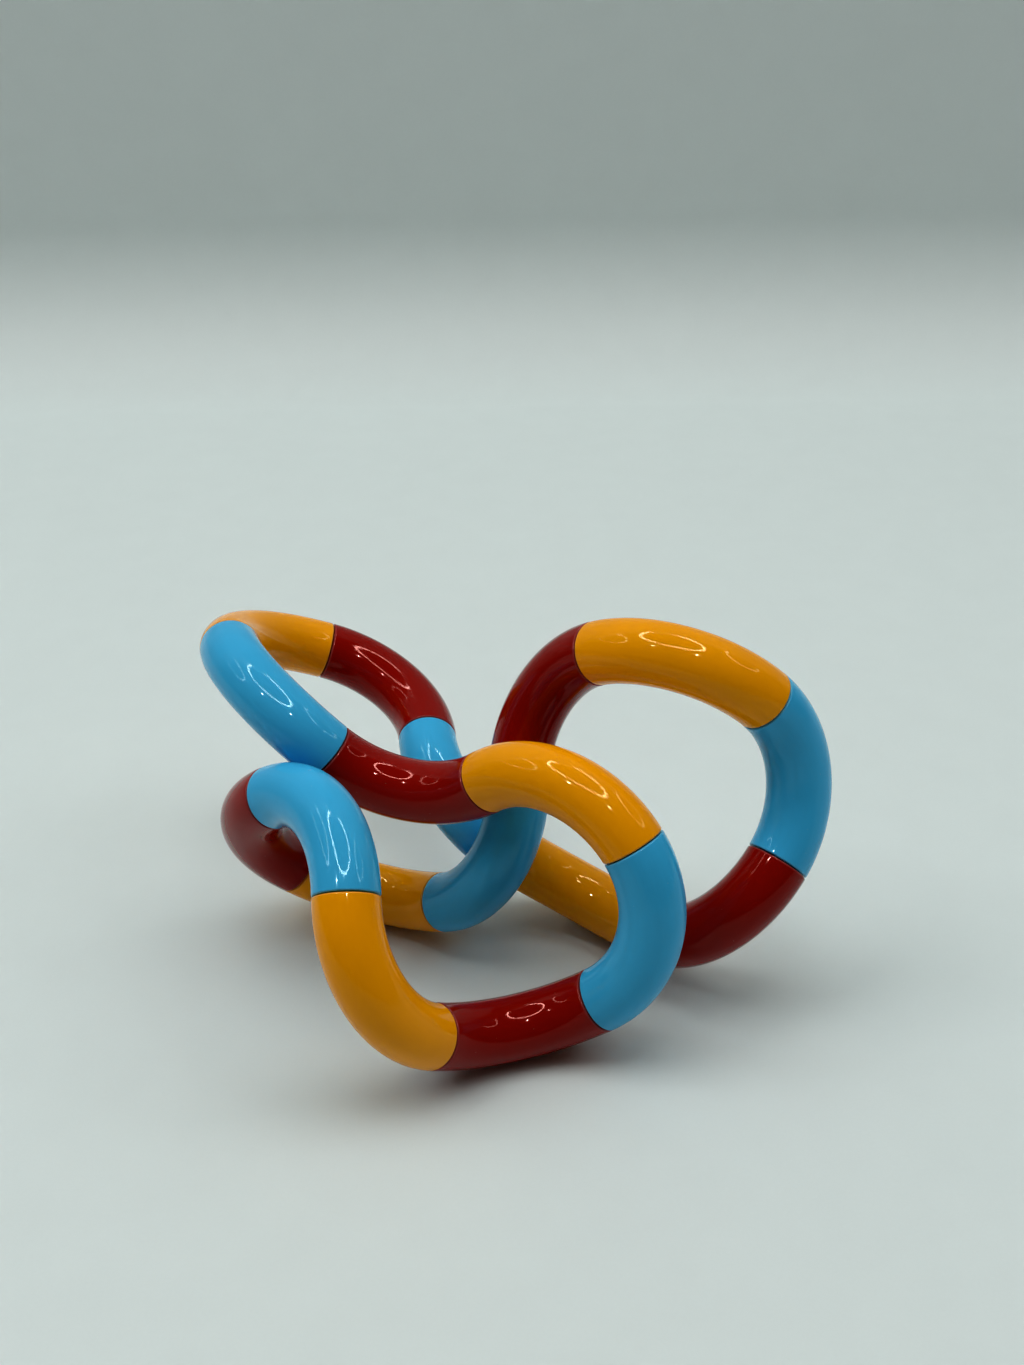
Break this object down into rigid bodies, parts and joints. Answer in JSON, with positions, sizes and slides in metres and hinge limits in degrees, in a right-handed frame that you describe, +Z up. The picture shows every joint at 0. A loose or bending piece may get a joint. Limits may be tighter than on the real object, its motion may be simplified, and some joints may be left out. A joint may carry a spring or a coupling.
{
  "type": "twisty snake puzzle",
  "caption": "Closed loop of glossy quarter-circle tubes in orange, red and blue, joined end to end by snap swivels so that it twists into new shapes.",
  "frame": {"origin": "centre of the loop's footprint, on the surface that it stands on", "axes": "+Z up, +X along the loop's longest extent, +Y away from the side where tube 2 lies on the surface"},
  "size_m": [0.1226, 0.1032, 0.0751],
  "materials": {
    "orange_plastic": "polished injection moulding",
    "red_plastic": "polished injection moulding",
    "blue_plastic": "polished injection moulding",
    "pin_plastic": "as moulded"
  },
  "bodies": {
    "link_01": {"tube_01_orange": "orange_plastic", "snap_pin_01": "pin_plastic"},
    "link_02": {"tube_02_red": "red_plastic", "snap_pin_02": "pin_plastic"},
    "link_03": {"tube_03_blue": "blue_plastic", "snap_pin_03": "pin_plastic"},
    "link_04": {"tube_04_orange": "orange_plastic", "snap_pin_04": "pin_plastic"},
    "link_05": {"tube_05_red": "red_plastic", "snap_pin_05": "pin_plastic"},
    "link_06": {"tube_06_blue": "blue_plastic", "snap_pin_06": "pin_plastic"},
    "link_07": {"tube_07_orange": "orange_plastic", "snap_pin_07": "pin_plastic"},
    "link_08": {"tube_08_red": "red_plastic", "snap_pin_08": "pin_plastic"},
    "link_09": {"tube_09_blue": "blue_plastic", "snap_pin_09": "pin_plastic"},
    "link_10": {"tube_10_orange": "orange_plastic", "snap_pin_10": "pin_plastic"},
    "link_11": {"tube_11_red": "red_plastic", "snap_pin_11": "pin_plastic"},
    "link_12": {"tube_12_blue": "blue_plastic", "snap_pin_12": "pin_plastic"},
    "link_13": {"tube_13_orange": "orange_plastic", "snap_pin_13": "pin_plastic"},
    "link_14": {"tube_14_red": "red_plastic", "snap_pin_14": "pin_plastic"},
    "link_15": {"tube_15_blue": "blue_plastic", "snap_pin_15": "pin_plastic"},
    "link_16": {"tube_16_orange": "orange_plastic", "snap_pin_16": "pin_plastic"},
    "link_17": {"tube_17_red": "red_plastic", "snap_pin_17": "pin_plastic"},
    "link_18": {"tube_18_blue": "blue_plastic", "snap_pin_18": "pin_plastic"}
  },
  "joints": [
    {"name": "swivel_01", "type": "hinge", "parent": "link_02", "child": "link_01", "pos_m": [-0.0137, -0.04166, 0.0117], "axis": [-0.5878, -0.5349, 0.6069], "range_deg": [-45, 0]},
    {"name": "swivel_02", "type": "hinge", "parent": "link_02", "child": "link_03", "pos_m": [0.01693, -0.03305, 0.01189], "axis": [0.7736, -0.1521, 0.6152], "range_deg": [0, 40.8]},
    {"name": "swivel_03", "type": "hinge", "parent": "link_03", "child": "link_04", "pos_m": [0.02285, -0.02691, 0.04254], "axis": [-0.5107, 0.425, 0.7474], "range_deg": [-70, 0]},
    {"name": "swivel_04", "type": "hinge", "parent": "link_04", "child": "link_05", "pos_m": [-0.00349, -0.00917, 0.04456], "axis": [-0.6597, 0.3637, -0.6577], "range_deg": [0, 21.5]},
    {"name": "swivel_05", "type": "hinge", "parent": "link_05", "child": "link_06", "pos_m": [-0.03401, -0.00028, 0.04589], "axis": [-0.6969, 0.0315, 0.7165], "range_deg": [0, 90]},
    {"name": "swivel_06", "type": "hinge", "parent": "link_06", "child": "link_07", "pos_m": [-0.05466, 0.02161, 0.05625], "axis": [-0.2207, 0.9412, -0.256], "range_deg": [-14.7, 0]},
    {"name": "swivel_07", "type": "hinge", "parent": "link_07", "child": "link_08", "pos_m": [-0.03895, 0.04532, 0.04199], "axis": [0.919, 0.1127, -0.3778], "range_deg": [0, 28.7]},
    {"name": "swivel_08", "type": "hinge", "parent": "link_08", "child": "link_09", "pos_m": [-0.01639, 0.02553, 0.0314], "axis": [0.0835, -0.9922, -0.0928], "range_deg": [0, 68.9]},
    {"name": "swivel_09", "type": "hinge", "parent": "link_09", "child": "link_10", "pos_m": [0.00244, 0.00599, 0.01478], "axis": [0.7535, 0.1238, -0.6457], "range_deg": [0, 58.4]},
    {"name": "swivel_10", "type": "hinge", "parent": "link_10", "child": "link_11", "pos_m": [0.02917, -0.00992, 0.00807], "axis": [0.4343, -0.8311, 0.3474], "range_deg": [-20.6, 0]},
    {"name": "swivel_11", "type": "hinge", "parent": "link_11", "child": "link_12", "pos_m": [0.05106, -0.01627, 0.03027], "axis": [0.5385, 0.5487, 0.6395], "range_deg": [-18.7, 0]},
    {"name": "swivel_12", "type": "hinge", "parent": "link_12", "child": "link_13", "pos_m": [0.04775, -0.00743, 0.06066], "axis": [-0.6857, -0.1558, 0.7111], "range_deg": [0, 18.2]},
    {"name": "swivel_13", "type": "hinge", "parent": "link_13", "child": "link_14", "pos_m": [0.01779, 0.00213, 0.06551], "axis": [-0.6459, 0.5807, -0.4956], "range_deg": [0, 22.5]},
    {"name": "swivel_15", "type": "hinge", "parent": "link_16", "child": "link_15", "pos_m": [-0.01257, -0.00177, 0.00971], "axis": [0.6522, -0.5768, 0.4919], "range_deg": [0, 60.7]},
    {"name": "swivel_16", "type": "hinge", "parent": "link_17", "child": "link_16", "pos_m": [-0.04311, 0.00619, 0.01379], "axis": [0.7051, 0.2233, -0.673], "range_deg": [-42.4, 0]},
    {"name": "swivel_17", "type": "hinge", "parent": "link_18", "child": "link_17", "pos_m": [-0.04355, -0.00911, 0.04169], "axis": [-0.6857, 0.4565, -0.5669], "range_deg": [0, 9]},
    {"name": "swivel_18", "type": "hinge", "parent": "link_01", "child": "link_18", "pos_m": [-0.02752, -0.03654, 0.0399], "axis": [-0.0266, 0.7626, 0.6463], "range_deg": [0, 26.5]}
  ],
  "couplings": [
    {"joint": "swivel_01", "follows": "swivel_05", "ratio": -0.49995},
    {"joint": "swivel_02", "follows": "swivel_05", "ratio": 0.45327},
    {"joint": "swivel_03", "follows": "swivel_05", "ratio": -0.77769},
    {"joint": "swivel_04", "follows": "swivel_05", "ratio": 0.23805},
    {"joint": "swivel_06", "follows": "swivel_05", "ratio": -0.1625},
    {"joint": "swivel_07", "follows": "swivel_05", "ratio": 0.31876},
    {"joint": "swivel_08", "follows": "swivel_05", "ratio": 0.76452},
    {"joint": "swivel_09", "follows": "swivel_05", "ratio": 0.64882},
    {"joint": "swivel_10", "follows": "swivel_05", "ratio": -0.22861},
    {"joint": "swivel_11", "follows": "swivel_05", "ratio": -0.20679},
    {"joint": "swivel_12", "follows": "swivel_05", "ratio": 0.20161},
    {"joint": "swivel_13", "follows": "swivel_05", "ratio": 0.24907},
    {"joint": "swivel_15", "follows": "swivel_05", "ratio": 0.67442},
    {"joint": "swivel_16", "follows": "swivel_05", "ratio": -0.47062},
    {"joint": "swivel_17", "follows": "swivel_05", "ratio": 0.09979},
    {"joint": "swivel_18", "follows": "swivel_05", "ratio": 0.29335}
  ]
}
